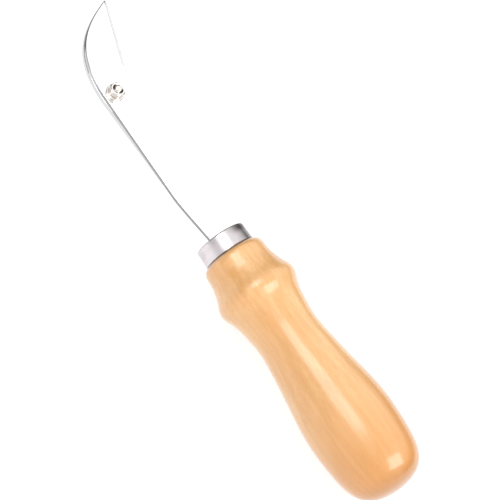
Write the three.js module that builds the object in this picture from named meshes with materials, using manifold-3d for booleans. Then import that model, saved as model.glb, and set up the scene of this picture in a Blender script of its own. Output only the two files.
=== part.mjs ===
// A skiving knife for leather, with a clamped, replaceable blade.
//
// A turned hardwood handle carries a steel ferrule. A flat steel holder runs from a tang inside
// the handle to a hook-shaped head. A second plate behind the head is drawn up by one screw and
// nut, and pinches a thin leaf-shaped blade that sits in a shallow seat of the holder.
//
// Units are millimetres. While it is built, the tool's axis is X: the wood starts at x = 0, the
// butt is towards +X and the blade's tip towards -X. The spine is on the -Y side, the cutting
// edge on the +Y side, and the nut is on top, towards +Z. The finished group is then moved so
// that the middle of its footprint is the origin and its lowest point is z = 0.

import * as THREE from 'three';
import { mergeVertices } from 'three/addons/utils/BufferGeometryUtils.js';
import Module from 'manifold-3d';

const wasm = await Module();
wasm.setup();

// ---------- driving dimensions ----------

const HANDLE_LENGTH = 94;          // visible wood, from the ferrule to the butt
const NECK_RADIUS = 11.2;          // the short neck behind the ferrule
const BEAD_RADIUS = 14.3;          // the finger stop
const WAIST_RADIUS = 11.0;
const BULB_RADIUS = 15.2;          // the swell that sits in the palm
const HANDLE_SIDES = 36;

const FERRULE_LENGTH = 6.4;
const FERRULE_FRONT_RADIUS = 8.8;
const FERRULE_REAR_RADIUS = 9.0;
const FERRULE_WALL = 0.75;
const FERRULE_LIP = 1.6;           // how far the front rim turns in over the end of the wood
const LIP_THICKNESS = 0.7;
const FERRULE_SIDES = 48;

const WOOD_GAP = 0.3;              // room round each piece that is let into the wood
const TANG_LENGTH = 55;
const TANG_WIDTH = 6;
const TANG_END_WIDTH = 3.5;

const PLATE_THICKNESS = 1.5;       // the holder
const CLAMP_THICKNESS = 1.8;
const PLATE_CHAMFER = 0.3;
const STACK_GAP = 0.05;            // running room between plates that lie on each other

const SHANK_WIDTH = 7.4;           // where the shank leaves the ferrule
const SPINE_AT_SHANK = -6.1;       // the holder's spine side, 25 mm in front of the handle
const SPINE_AT_HEAD = new THREE.Vector2(-66, -5.6);
const EDGE_SIDE = 9.1;             // the straight side of the plates that faces the work
const TIP = new THREE.Vector2(-99.6, 20.8);
const HEEL = new THREE.Vector2(-74.6, 10.4);
const BLADE_PROTRUSION = 1.5;      // how far the blade stands out of the plates
const BLADE_DEPTH = 7;             // from the heel of the edge to the back of the blade
const BLADE_THICKNESS = 0.4;
const EDGE_BEVEL = 1.6;            // width of the ground bevel
const SEAT_DEPTH = BLADE_THICKNESS + STACK_GAP;
const SEAT_GAP = 0.3;

const SCREW = new THREE.Vector2(-66.6, -1.1);
const THREAD_RADIUS = 1.25;        // M2.5
const HOLE_RADIUS = 1.4;
const NUT_ACROSS_FLATS = 5;
const NUT_HEIGHT = 2;
const WASHER_RADIUS = 3.2;
const WASHER_THICKNESS = 0.5;
const SCREW_HEAD_RADIUS = 2.5;
const SCREW_HEAD_HEIGHT = 1.5;
const SLOT_WIDTH = 0.7;            // the screwdriver slot
const SLOT_DEPTH = 0.7;
const SCREW_STAND = 0.95;          // how far the screw's end stands out of the nut
const FASTENER_SIDES = 24;

// ---------- levels through the stack of plates ----------

const HOLDER_TOP = PLATE_THICKNESS / 2;
const HOLDER_BOTTOM = -PLATE_THICKNESS / 2;
const CLAMP_TOP = HOLDER_BOTTOM - STACK_GAP;
const CLAMP_BOTTOM = CLAMP_TOP - CLAMP_THICKNESS;
const WASHER_BOTTOM = HOLDER_TOP + STACK_GAP;
const NUT_BOTTOM = WASHER_BOTTOM + WASHER_THICKNESS + STACK_GAP;
const SCREW_TOP = NUT_BOTTOM + NUT_HEIGHT + SCREW_STAND;

// ---------- helpers ----------

// The closed solid of a geometry, for cuts and joins.
function solidOf(geometry) {
  const bare = geometry.clone();
  bare.deleteAttribute('normal');
  bare.deleteAttribute('uv');
  const merged = mergeVertices(bare, 1e-4);
  const triVerts = new Uint32Array(merged.index.array);
  const vertProperties = new Float32Array(merged.attributes.position.array);
  return new wasm.Manifold(new wasm.Mesh({ numProp: 3, vertProperties, triVerts }));
}

// The geometry of a solid, after cuts and joins.
function geometryOf(solid) {
  const mesh = solid.getMesh();
  const geometry = new THREE.BufferGeometry();
  geometry.setAttribute('position', new THREE.BufferAttribute(new Float32Array(mesh.vertProperties), 3));
  geometry.setIndex(new THREE.BufferAttribute(new Uint32Array(mesh.triVerts), 1));
  geometry.computeVertexNormals();
  return geometry;
}

function cut(geometry, ...tools) {
  let solid = solidOf(geometry);
  for (const tool of tools) {
    solid = solid.subtract(solidOf(tool));
  }
  return geometryOf(solid);
}

// A turned body about the X axis, from profile points of (radius, x).
function turned(profile, sides) {
  const points = profile.map(([radius, x]) => new THREE.Vector2(radius, x));
  return new THREE.LatheGeometry(points, sides).rotateZ(-Math.PI / 2);
}

// A turned body about an upright axis through a point, from profile points of (radius, z).
function turnedUpright(profile, sides, centre) {
  const points = profile.map(([radius, z]) => new THREE.Vector2(radius, z));
  return new THREE.LatheGeometry(points, sides).rotateX(Math.PI / 2).translate(centre.x, centre.y, 0);
}

// An outline's points moved inwards by a distance. Each corner moves along its bisector.
function inset(points, distance) {
  return points.map((point, i) => {
    const before = points[(i + points.length - 1) % points.length];
    const after = points[(i + 1) % points.length];
    const a = point.clone().sub(before).normalize();
    const b = after.clone().sub(point).normalize();
    const normal = new THREE.Vector2(-a.y - b.y, a.x + b.x).normalize();
    const stretch = 1 / Math.max(0.3, normal.dot(new THREE.Vector2(-a.y, a.x)));
    return point.clone().addScaledVector(normal, distance * stretch);
  });
}

// A solid through a stack of outlines. Each layer is {z, points}, from the lowest to the highest,
// and every outline has the same number of points, in anticlockwise order.
function stacked(layers) {
  const count = layers[0].points.length;
  const positions = layers.flatMap(({ z, points }) => points.flatMap((p) => [p.x, p.y, z]));
  const cap = THREE.ShapeUtils.triangulateShape(layers[0].points, []);
  const last = (layers.length - 1) * count;
  const index = [];
  for (const [a, b, c] of cap) {
    index.push(a, c, b);
    index.push(last + a, last + b, last + c);
  }
  for (let layer = 0; layer < layers.length - 1; layer += 1) {
    for (let i = 0; i < count; i += 1) {
      const j = (i + 1) % count;
      const low = layer * count;
      const high = low + count;
      index.push(low + i, low + j, high + j);
      index.push(low + i, high + j, high + i);
    }
  }
  const geometry = new THREE.BufferGeometry();
  geometry.setAttribute('position', new THREE.Float32BufferAttribute(positions, 3));
  geometry.setIndex(index);
  return geometry;
}

// A flat plate with its arrises taken off.
function plate(points, bottom, top, chamfer) {
  const small = inset(points, chamfer);
  return stacked([
    { z: bottom, points: small },
    { z: bottom + chamfer, points },
    { z: top - chamfer, points },
    { z: top, points: small },
  ]);
}

function slab(points, bottom, top) {
  return stacked([{ z: bottom, points }, { z: top, points }]);
}

function drill(centre, radius, bottom, top) {
  const profile = [[0, bottom], [radius, bottom], [radius, top], [0, top]];
  return turnedUpright(profile, FASTENER_SIDES, centre);
}

// ---------- outlines of the head ----------

const edgeDirection = TIP.clone().sub(HEEL).normalize();
const edgeInward = new THREE.Vector2(-edgeDirection.y, edgeDirection.x);
const spineAtTip = new THREE.Vector2(-0.4, 0.91).normalize();

// The plates end a little short of the blade, on a line set back from the cutting edge.
const plateTip = TIP.clone().addScaledVector(spineAtTip, -1.4 * BLADE_PROTRUSION);
const plateHeel = HEEL.clone().addScaledVector(edgeInward, BLADE_PROTRUSION);

// The hooked end of a plate: the spine sweeps round to the tip, and the edge side runs
// straight back to a small shoulder at the heel.
function hook(shape) {
  const reach = SPINE_AT_HEAD.clone().add(new THREE.Vector2(-18.8, 0.2));
  const lead = plateTip.clone().addScaledVector(spineAtTip, -16);
  shape.bezierCurveTo(reach.x, reach.y, lead.x, lead.y, plateTip.x, plateTip.y);
  shape.lineTo(plateHeel.x, plateHeel.y);
  shape.quadraticCurveTo(plateHeel.x + 1.3, EDGE_SIDE, plateHeel.x + 3, EDGE_SIDE);
}

const CURVE_STEPS = 14;

function anticlockwise(points) {
  return THREE.ShapeUtils.isClockWise(points) ? points.slice().reverse() : points;
}

function outline(shape, steps = CURVE_STEPS) {
  const points = shape.getPoints(steps);
  if (points[0].distanceTo(points[points.length - 1]) < 1e-6) {
    points.pop();
  }
  return anticlockwise(points);
}

function holderOutline() {
  const shoulder = -FERRULE_LENGTH + LIP_THICKNESS;
  const halfShank = SHANK_WIDTH / 2;
  const shape = new THREE.Shape();
  shape.moveTo(TANG_LENGTH, -TANG_END_WIDTH / 2);
  shape.lineTo(0, -TANG_WIDTH / 2);
  shape.lineTo(shoulder, -TANG_WIDTH / 2);
  shape.lineTo(shoulder, -halfShank);
  shape.quadraticCurveTo(-20, SPINE_AT_SHANK + 0.3, -25, SPINE_AT_SHANK);
  shape.lineTo(SPINE_AT_HEAD.x, SPINE_AT_HEAD.y);
  hook(shape);
  shape.lineTo(-41, EDGE_SIDE + 0.2);
  shape.quadraticCurveTo(-38, EDGE_SIDE + 0.2, shoulder, halfShank);
  shape.lineTo(shoulder, TANG_WIDTH / 2);
  shape.lineTo(0, TANG_WIDTH / 2);
  shape.lineTo(TANG_LENGTH, TANG_END_WIDTH / 2);
  return outline(shape);
}

function clampOutline() {
  const shape = new THREE.Shape();
  shape.moveTo(-26, 1);
  shape.bezierCurveTo(-26, -2.6, -28, -4.4, -33, -4.7);
  shape.lineTo(SPINE_AT_HEAD.x, SPINE_AT_HEAD.y);
  hook(shape);
  shape.lineTo(-46, 8.2);
  shape.bezierCurveTo(-34, 7.4, -26, 5, -26, 1);
  return outline(shape);
}

// The blade's back, as the three further points of a Bezier curve that starts at the tip.
const BLADE_BACK = [
  new THREE.Vector2(-96.1, 13.1),
  new THREE.Vector2(-91.2, 6.6),
  new THREE.Vector2(-86.2, 2.9),
];

// Carries a shape on along a Bezier curve, moved away from the blade's back by a distance.
function curveThrough(shape, [a, b, c], distance) {
  const away = edgeInward.clone().multiplyScalar(distance);
  shape.bezierCurveTo(a.x + away.x, a.y + away.y, b.x + away.x, b.y + away.y, c.x + away.x, c.y + away.y);
}

// The leaf-shaped blade: a straight cutting edge, a square heel, and a back that follows the
// spine of the plates just inside it. An inset moves only the cutting edge back.
function bladeOutline(edgeInset) {
  const backAtTip = BLADE_BACK[0].clone().sub(TIP).normalize();
  const tip = TIP.clone().addScaledVector(backAtTip, edgeInset / backAtTip.dot(edgeInward));
  const heel = HEEL.clone().addScaledVector(edgeInward, edgeInset);
  const back = HEEL.clone().addScaledVector(edgeInward, BLADE_DEPTH);
  const shape = new THREE.Shape();
  shape.moveTo(heel.x, heel.y);
  shape.lineTo(tip.x, tip.y);
  curveThrough(shape, BLADE_BACK, 0);
  shape.lineTo(back.x, back.y);
  return outline(shape);
}

// ---------- materials ----------

function material(color, roughness, metalness) {
  return new THREE.MeshStandardMaterial({ color, roughness, metalness });
}

const lacqueredWood = () => material(0xe8b27c, 0.28, 0);
const polishedSteel = () => material(0xe9eaec, 0.12, 1);
const satinSteel = () => material(0xc9c6c8, 0.35, 1);
const hardware = () => material(0xd9cfc0, 0.2, 1);

// ---------- the pieces ----------

// Turned handle: tenon, rounded shoulder, neck, bead, waist, bulb and domed butt.
function woodHandle() {
  const tenonRadius = FERRULE_FRONT_RADIUS - FERRULE_WALL - WOOD_GAP;
  const tenonFace = -FERRULE_LENGTH + LIP_THICKNESS + WOOD_GAP;
  const profile = new THREE.SplineCurve([
    [9.4, STACK_GAP],
    [NECK_RADIUS - 0.6, 1.1],
    [NECK_RADIUS - 0.05, 2.9],
    [NECK_RADIUS + 0.1, 5.4],
    [NECK_RADIUS + 0.75, 8.4],
    [NECK_RADIUS + 1.7, 11.2],
    [BEAD_RADIUS - 0.35, 13.6],
    [BEAD_RADIUS, 15.2],
    [BEAD_RADIUS - 0.2, 16.7],
    [BEAD_RADIUS - 1.1, 19],
    [BEAD_RADIUS - 2, 21.8],
    [WAIST_RADIUS + 0.55, 26.5],
    [WAIST_RADIUS + 0.05, 31.5],
    [WAIST_RADIUS + 0.5, 38.5],
    [WAIST_RADIUS + 1.55, 46.5],
    [BULB_RADIUS - 1.5, 54],
    [BULB_RADIUS - 0.45, 61],
    [BULB_RADIUS, 68],
    [BULB_RADIUS - 0.15, 74],
    [BULB_RADIUS - 0.65, 80],
    [BULB_RADIUS - 1.6, 85.2],
    [BULB_RADIUS - 3.4, 89.2],
    [BULB_RADIUS - 6.2, 91.9],
    [BULB_RADIUS - 10.4, 93.5],
    [0, HANDLE_LENGTH],
  ].map(([radius, x]) => new THREE.Vector2(radius, x)));
  const surface = profile.getPoints(42).map((p) => [p.x, p.y]);
  surface[surface.length - 1] = [0, HANDLE_LENGTH];
  const tenon = [[0, tenonFace], [tenonRadius, tenonFace], [tenonRadius, STACK_GAP]];
  const body = turned([...tenon, ...surface], HANDLE_SIDES);
  const slotEnd = TANG_LENGTH + 1;
  const slotLength = slotEnd - tenonFace + 2;
  const slot = new THREE.BoxGeometry(slotLength, TANG_WIDTH + 2 * WOOD_GAP, PLATE_THICKNESS + 2 * WOOD_GAP);
  slot.translate(slotEnd - slotLength / 2, 0, 0);
  return cut(body, slot);
}

// Drawn steel ferrule: a short sleeve whose front rim turns in over the wood.
function ferrule() {
  const bore = FERRULE_FRONT_RADIUS - FERRULE_WALL;
  const front = -FERRULE_LENGTH;
  const profile = [
    [bore, 0],
    [bore, front + LIP_THICKNESS],
    [FERRULE_FRONT_RADIUS - FERRULE_LIP, front + LIP_THICKNESS],
    [FERRULE_FRONT_RADIUS - FERRULE_LIP, front],
    [FERRULE_FRONT_RADIUS - 0.6, front],
    [FERRULE_FRONT_RADIUS - 0.15, front + 0.15],
    [FERRULE_FRONT_RADIUS, front + 0.6],
    [FERRULE_REAR_RADIUS, 0],
    [bore, 0],
  ];
  return turned(profile, FERRULE_SIDES);
}

// Where the blade sits: its own outline with room round it, open past the cutting edge.
function bladeSeat() {
  const way = edgeInward.clone().multiplyScalar(-6);
  const heelSide = edgeDirection.clone().multiplyScalar(-SEAT_GAP);
  const back = HEEL.clone().addScaledVector(edgeInward, BLADE_DEPTH + SEAT_GAP).add(heelSide);
  const shape = new THREE.Shape();
  shape.moveTo(HEEL.x + way.x + heelSide.x, HEEL.y + way.y + heelSide.y);
  shape.lineTo(TIP.x + way.x + 3 * edgeDirection.x, TIP.y + way.y + 3 * edgeDirection.y);
  shape.lineTo(TIP.x + 2 * SEAT_GAP * edgeInward.x, TIP.y + 2 * SEAT_GAP * edgeInward.y);
  curveThrough(shape, BLADE_BACK, SEAT_GAP);
  shape.lineTo(back.x, back.y);
  return slab(outline(shape), HOLDER_BOTTOM - 1, HOLDER_BOTTOM + SEAT_DEPTH);
}

const PIP = new THREE.Vector2(-33, 1);
const PIP_RADIUS = 1;
const PIP_HEIGHT = 0.8;

// The holder: tang, shank and hooked head in one plate, with the blade's seat, the screw hole,
// and a blind dimple underneath for the clamp plate's locating pip.
function bladeHolder() {
  const body = plate(holderOutline(), HOLDER_BOTTOM, HOLDER_TOP, PLATE_CHAMFER);
  const screwHole = drill(SCREW, HOLE_RADIUS, HOLDER_BOTTOM - 1, HOLDER_TOP + 1);
  const dimple = drill(PIP, PIP_RADIUS + 0.2, HOLDER_BOTTOM - 1, HOLDER_BOTTOM + PIP_HEIGHT + 0.1);
  return cut(body, bladeSeat(), screwHole, dimple);
}

// The clamp plate behind the head. Its pip keeps it from turning about the screw.
function clampPlate() {
  const body = solidOf(plate(clampOutline(), CLAMP_BOTTOM, CLAMP_TOP, PLATE_CHAMFER));
  const pip = solidOf(drill(PIP, PIP_RADIUS, CLAMP_TOP - 0.5, CLAMP_TOP + PIP_HEIGHT));
  const screwHole = solidOf(drill(SCREW, HOLE_RADIUS, CLAMP_BOTTOM - 1, CLAMP_TOP + 1));
  return geometryOf(body.add(pip).subtract(screwHole));
}

// The blade, ground on its upper side only.
function skivingBlade() {
  const bottom = HOLDER_BOTTOM;
  const land = 0.05;
  return stacked([
    { z: bottom, points: bladeOutline(0) },
    { z: bottom + land, points: bladeOutline(0) },
    { z: bottom + BLADE_THICKNESS, points: bladeOutline(EDGE_BEVEL) },
  ]);
}

// Pan-headed clamp screw: the head bears on the clamp plate, and the domed end stands out of
// the nut.
function clampScrew() {
  const headTop = CLAMP_BOTTOM - STACK_GAP;
  const headBottom = headTop - SCREW_HEAD_HEIGHT;
  const profile = [
    [0, headBottom],
    [SCREW_HEAD_RADIUS - 0.9, headBottom + 0.1],
    [SCREW_HEAD_RADIUS - 0.25, headBottom + 0.5],
    [SCREW_HEAD_RADIUS, headTop - 0.4],
    [SCREW_HEAD_RADIUS, headTop],
    [THREAD_RADIUS, headTop],
    [THREAD_RADIUS, SCREW_TOP - 0.5],
    [THREAD_RADIUS - 0.35, SCREW_TOP - 0.15],
    [0, SCREW_TOP],
  ];
  const slot = new THREE.BoxGeometry(2 * SCREW_HEAD_RADIUS + 1, SLOT_WIDTH, 2 * SLOT_DEPTH);
  slot.translate(SCREW.x, SCREW.y, headBottom);
  return cut(turnedUpright(profile, FASTENER_SIDES, SCREW), slot);
}

function clampWasher() {
  const top = WASHER_BOTTOM + WASHER_THICKNESS;
  const round = 0.15;
  const profile = [
    [0, WASHER_BOTTOM],
    [WASHER_RADIUS, WASHER_BOTTOM],
    [WASHER_RADIUS, top - round],
    [WASHER_RADIUS - round, top],
    [0, top],
  ];
  const hole = drill(SCREW, HOLE_RADIUS, WASHER_BOTTOM - 1, top + 1);
  return cut(turnedUpright(profile, 2 * FASTENER_SIDES, SCREW), hole);
}

// Hexagon nut with the corners of its upper face turned off.
function clampNut() {
  const cornerRadius = NUT_ACROSS_FLATS / Math.sqrt(3);
  const top = NUT_BOTTOM + NUT_HEIGHT;
  const hexagon = [[0, NUT_BOTTOM], [cornerRadius, NUT_BOTTOM], [cornerRadius, top], [0, top]];
  const prism = solidOf(turnedUpright(hexagon, 6, SCREW));
  const turnedOff = solidOf(turnedUpright([
    [0, NUT_BOTTOM],
    [cornerRadius + 0.1, NUT_BOTTOM],
    [cornerRadius + 0.1, top - 0.35],
    [NUT_ACROSS_FLATS / 2 - 0.1, top],
    [0, top],
  ], 2 * FASTENER_SIDES, SCREW));
  const hole = solidOf(drill(SCREW, HOLE_RADIUS, NUT_BOTTOM - 1, top + 1));
  return geometryOf(prism.intersect(turnedOff).subtract(hole));
}

// ---------- the knife ----------

const knife = new THREE.Group();

function addPiece(name, geometry, pieceMaterial) {
  const mesh = new THREE.Mesh(geometry, pieceMaterial);
  mesh.name = name;
  knife.add(mesh);
}

addPiece('wood_handle', woodHandle(), lacqueredWood());
addPiece('ferrule', ferrule(), satinSteel());
addPiece('blade_holder', bladeHolder(), polishedSteel());
addPiece('clamp_plate', clampPlate(), polishedSteel());
addPiece('skiving_blade', skivingBlade(), polishedSteel());
addPiece('clamp_screw', clampScrew(), hardware());
addPiece('clamp_washer', clampWasher(), hardware());
addPiece('clamp_nut', clampNut(), hardware());

const box = new THREE.Box3().setFromObject(knife);
const centre = box.getCenter(new THREE.Vector3());
knife.position.set(-centre.x, -centre.y, -box.min.z);

export default knife;
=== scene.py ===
# %% [markdown]
# # A skiving knife for leather
#
# The knife is a turned wooden handle with a steel ferrule, a flat polished holder with a hooked
# head, and a thin blade that one screw, a clamp plate and a nut hold in the head. The packed
# model gives every piece its place and its motion. Here each piece is made again as a fine
# surface with a real finish, and it rides on the same body.

import math

import bmesh
import bpy
import numpy as np
from mathutils import Matrix, Vector
from mathutils.geometry import tessellate_polygon


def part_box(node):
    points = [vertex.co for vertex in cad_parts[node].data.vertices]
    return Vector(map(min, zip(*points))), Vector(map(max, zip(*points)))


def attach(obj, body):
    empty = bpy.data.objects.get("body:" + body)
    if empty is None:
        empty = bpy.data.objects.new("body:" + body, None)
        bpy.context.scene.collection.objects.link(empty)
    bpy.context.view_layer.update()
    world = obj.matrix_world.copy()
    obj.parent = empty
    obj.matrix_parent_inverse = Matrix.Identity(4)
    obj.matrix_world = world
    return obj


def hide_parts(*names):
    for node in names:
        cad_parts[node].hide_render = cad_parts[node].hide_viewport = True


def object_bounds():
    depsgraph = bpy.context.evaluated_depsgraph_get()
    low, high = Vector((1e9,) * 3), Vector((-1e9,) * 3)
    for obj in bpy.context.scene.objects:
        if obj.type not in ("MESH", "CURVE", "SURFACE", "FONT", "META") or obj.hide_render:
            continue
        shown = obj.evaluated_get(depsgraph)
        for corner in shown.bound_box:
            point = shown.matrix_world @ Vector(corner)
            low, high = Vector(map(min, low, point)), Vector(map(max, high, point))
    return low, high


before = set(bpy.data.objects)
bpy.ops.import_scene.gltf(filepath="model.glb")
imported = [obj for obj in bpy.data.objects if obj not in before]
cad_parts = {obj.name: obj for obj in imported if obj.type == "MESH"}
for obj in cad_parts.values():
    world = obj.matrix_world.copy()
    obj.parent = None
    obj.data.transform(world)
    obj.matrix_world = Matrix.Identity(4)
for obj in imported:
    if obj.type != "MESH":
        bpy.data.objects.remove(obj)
cad_low, cad_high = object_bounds()
print("overall size in mm:", [round(1000 * side, 1) for side in cad_high - cad_low])

# %% [markdown]
# All shapes are easiest to think of in millimetres about the tool's own axis: x = 0 where the
# wood meets the ferrule, the butt towards +X, the tip towards -X, the cutting edge on the +Y
# side. The ferrule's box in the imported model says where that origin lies.

# %% The tool's own origin
MM = 0.001
ferrule_low, ferrule_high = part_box("ferrule")
ORIGIN = np.array([
    ferrule_high.x,
    (ferrule_low.y + ferrule_high.y) / 2,
    (ferrule_low.z + ferrule_high.z) / 2,
])


def tool_box(node):
    """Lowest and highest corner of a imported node, in millimetres about the tool's origin."""
    low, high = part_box(node)
    return (np.array(low) - ORIGIN) / MM, (np.array(high) - ORIGIN) / MM


handle_low, handle_high = tool_box("wood_handle")
holder_low, holder_high = tool_box("blade_holder")
clamp_low = tool_box("clamp_plate")[0]
blade_low, blade_high = tool_box("skiving_blade")
screw_low, screw_high = tool_box("clamp_screw")
washer_low, washer_high = tool_box("clamp_washer")
nut_low, nut_high = tool_box("clamp_nut")
print("the handle ends at x =", round(handle_high[0], 1))
print("the blade ends at x =", round(blade_low[0], 1))

# %% [markdown]
# ## The camera
#
# A long lens from three quarters of a metre shows the knife nearly without perspective. The tool
# leans away by a small tilt, is rolled about its own axis so that the spine shows, and crosses
# the picture on a steep slant. The three angles give the camera's right, up and back vectors.

# %% The camera
TILT = math.radians(10)
ROLL = math.radians(40)
SLANT = math.radians(54.6)
DISTANCE = 0.75
LENS = 165.2
AIM_RIGHT, AIM_UP = 0.0063, 0.0014

back = Vector((math.sin(TILT), -math.cos(TILT) * math.sin(ROLL), math.cos(TILT) * math.cos(ROLL)))
to_tip = Vector((-1, 0, 0))
to_tip = (to_tip - to_tip.dot(back) * back).normalized()
across = to_tip.cross(back)
right = math.sin(SLANT) * across - math.cos(SLANT) * to_tip
up = math.sin(SLANT) * to_tip + math.cos(SLANT) * across

camera_data = bpy.data.cameras.new("camera")
camera_data.lens = LENS
camera_data.clip_start = 0.01
camera = bpy.data.objects.new("camera", camera_data)
bpy.context.scene.collection.objects.link(camera)
aim = Vector(ORIGIN) + AIM_RIGHT * right + AIM_UP * up
turn = Matrix((right, up, back)).transposed().to_4x4()
camera.matrix_world = Matrix.Translation(aim + DISTANCE * back) @ turn
bpy.context.scene.camera = camera
print("the camera stands at", [round(c, 3) for c in camera.location])

# %% [markdown]
# ## From arrays to meshes
#
# Nearly every piece is one grid of points: rows along the piece, columns around it. Modelling by
# hand or subdividing a rough cage would give the same shapes, but a grid says in a formula where
# each point lies. Where a row has shrunk to a point, merging the doubles closes the pole. Normals
# are then turned outwards.

# %% From points to a finished piece
def finished(name, points, faces, body, replaces, sharp=30):
    """Makes a closed mesh of points in millimetres about the tool's origin, merges the doubles,
    turns its faces out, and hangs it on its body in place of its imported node."""
    mesh = bpy.data.meshes.new(name)
    mesh.from_pydata((ORIGIN + np.asarray(points) * MM).tolist(), [], faces)
    work = bmesh.new()
    work.from_mesh(mesh)
    bmesh.ops.remove_doubles(work, verts=work.verts, dist=2e-7)
    bmesh.ops.dissolve_degenerate(work, edges=work.edges, dist=1e-7)
    bmesh.ops.recalc_face_normals(work, faces=work.faces)
    work.to_mesh(mesh)
    open_edges = sum(not edge.is_manifold for edge in work.edges)
    work.free()
    mesh.shade_smooth()
    mesh.set_sharp_from_angle(angle=math.radians(sharp))
    piece = bpy.data.objects.new(name, mesh)
    bpy.context.scene.collection.objects.link(piece)
    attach(piece, body)
    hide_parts(replaces)
    print(name, "has", len(mesh.polygons), "faces and", open_edges, "open edges")
    return piece


# %% The faces of a grid
def quads(rows, columns, wrap_rows=False, first=0):
    """Quads over a grid whose columns go all the way round. The rows close too, if wrapped."""
    index = first + np.arange(rows * columns).reshape(rows, columns)
    if wrap_rows:
        index = np.vstack([index, index[:1]])
    index = np.hstack([index, index[:, :1]])
    corners = [index[:-1, :-1], index[1:, :-1], index[1:, 1:], index[:-1, 1:]]
    return np.stack(corners, axis=-1).reshape(-1, 4).tolist()


# %% [markdown]
# Some finishes depend on which way a surface faces: end grain drinks more lacquer than long grain,
# and a sheared edge stays duller than a polished face. So each piece may keep one number for each
# vertex, worked out from its normals, and the material reads it by name.

# %% Numbers kept on the vertices
def store(piece, name, values):
    """Keeps one number for each vertex, under a name that a material can read."""
    values = np.asarray(values, np.float32)
    piece.data.attributes.new(name, "FLOAT", "POINT").data.foreach_set("value", values)
    low, high = float(values.min()), float(values.max())
    print(piece.name, name, "runs from", round(low, 2), "to", round(high, 2))


def normals(piece):
    """The vertices' normals, as rows of (x, y, z)."""
    flat = np.empty(3 * len(piece.data.vertices), np.float32)
    piece.data.vertices.foreach_get("normal", flat)
    return flat.reshape(-1, 3)


# %% [markdown]
# Turned and pressed pieces have profiles of straight runs with small rounded corners. The
# corners catch the light, which is how the eye tells real metal from a drawing of it.

# %% Profiles with rounded corners
def rounded(corners, steps=6):
    """A closed line through corners (a, b, radius). Each corner becomes an arc that touches both
    sides: its centre lies on the corner's bisector, radius / sin(half angle) from the corner."""
    corners = np.asarray(corners, float)
    points, radii = corners[:, :2], corners[:, 2]
    line = []
    neighbours = zip(np.roll(points, 1, 0), points, np.roll(points, -1, 0), radii)
    for before, point, after, radius in neighbours:
        if radius == 0:
            line.append(point[None])
            continue
        a = (before - point) / np.linalg.norm(before - point)
        b = (after - point) / np.linalg.norm(after - point)
        half = math.acos(np.clip(a @ b, -1, 1)) / 2
        bisector = (a + b) / np.linalg.norm(a + b)
        centre = point + bisector * radius / math.sin(half)
        start = point + a * radius / math.tan(half) - centre
        end = point + b * radius / math.tan(half) - centre
        share = np.linspace(0, 1, steps)[:, None]
        sweep = math.pi - 2 * half
        arc = (np.sin((1 - share) * sweep) * start + np.sin(share * sweep) * end) / math.sin(sweep)
        line.append(centre + arc)
    return np.vstack(line)


# %% Turned shapes
def turned_about_x(profile, columns):
    """Sweeps profile points (x, radius) about the tool's axis: at angle a, y is radius cos a and
    z is radius sin a."""
    angle = np.linspace(0, 2 * np.pi, columns, endpoint=False)
    x = np.repeat(profile[:, :1], columns, axis=1)
    y = np.outer(profile[:, 1], np.cos(angle))
    z = np.outer(profile[:, 1], np.sin(angle))
    return np.stack([x, y, z], axis=-1)


def turned_about_z(profile, centre, columns=64):
    """Sweeps profile points (radius, z) about an upright axis through a centre (x, y)."""
    angle = np.linspace(0, 2 * np.pi, columns, endpoint=False)
    x = centre[0] + np.outer(profile[:, 0], np.cos(angle))
    y = centre[1] + np.outer(profile[:, 0], np.sin(angle))
    return np.stack([x, y, np.repeat(profile[:, 1:], columns, axis=1)], axis=-1)


# %% [markdown]
# ## The wooden handle
#
# A turner cuts the handle between a few gauged diameters: shoulder, neck, bead, waist, bulb and
# butt. A natural cubic spline through those stations has no kinks, so a long reflection runs
# down the handle without a break. The surface starts inside, at the end of the slot for the
# tang, comes out over the tenon, and ends at the butt.

# %% A smooth line through a few stations
def natural_spline(stations, count):
    """A natural cubic spline through points, evenly sampled by chord length. The second
    derivatives solve the usual three-term equations, and are zero at both ends."""
    stations = np.asarray(stations, float)
    t = np.concatenate([[0], np.cumsum(np.linalg.norm(np.diff(stations, axis=0), axis=1))])
    h = np.diff(t)[:, None]
    size = len(stations)
    system = np.eye(size)
    known = np.zeros_like(stations)
    inner = np.arange(1, size - 1)
    system[inner, inner - 1] = h[:-1, 0]
    system[inner, inner] = 2 * (h[:-1, 0] + h[1:, 0])
    system[inner, inner + 1] = h[1:, 0]
    slopes = np.diff(stations, axis=0) / h
    known[1:-1] = 6 * (slopes[1:] - slopes[:-1])
    bend = np.linalg.solve(system, known)
    at = np.linspace(0, t[-1], count)
    k = np.clip(np.searchsorted(t, at, side="right") - 1, 0, size - 2)
    step, left = h[k], (at - t[k])[:, None]
    rest = step - left
    curve = (bend[k] * rest**3 + bend[k + 1] * left**3) / (6 * step)
    curve += (stations[k] / step - bend[k] * step / 6) * rest
    return curve + (stations[k + 1] / step - bend[k + 1] * step / 6) * left


# %% The handle's outside
BULB = (handle_high[2] - handle_low[2]) / 2
BUTT = handle_high[0]
TENON_FACE = handle_low[0]
NECK, BEAD, WAIST = 11.2, 14.3, 11.0
OUTLINE_POINTS = 330

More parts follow.
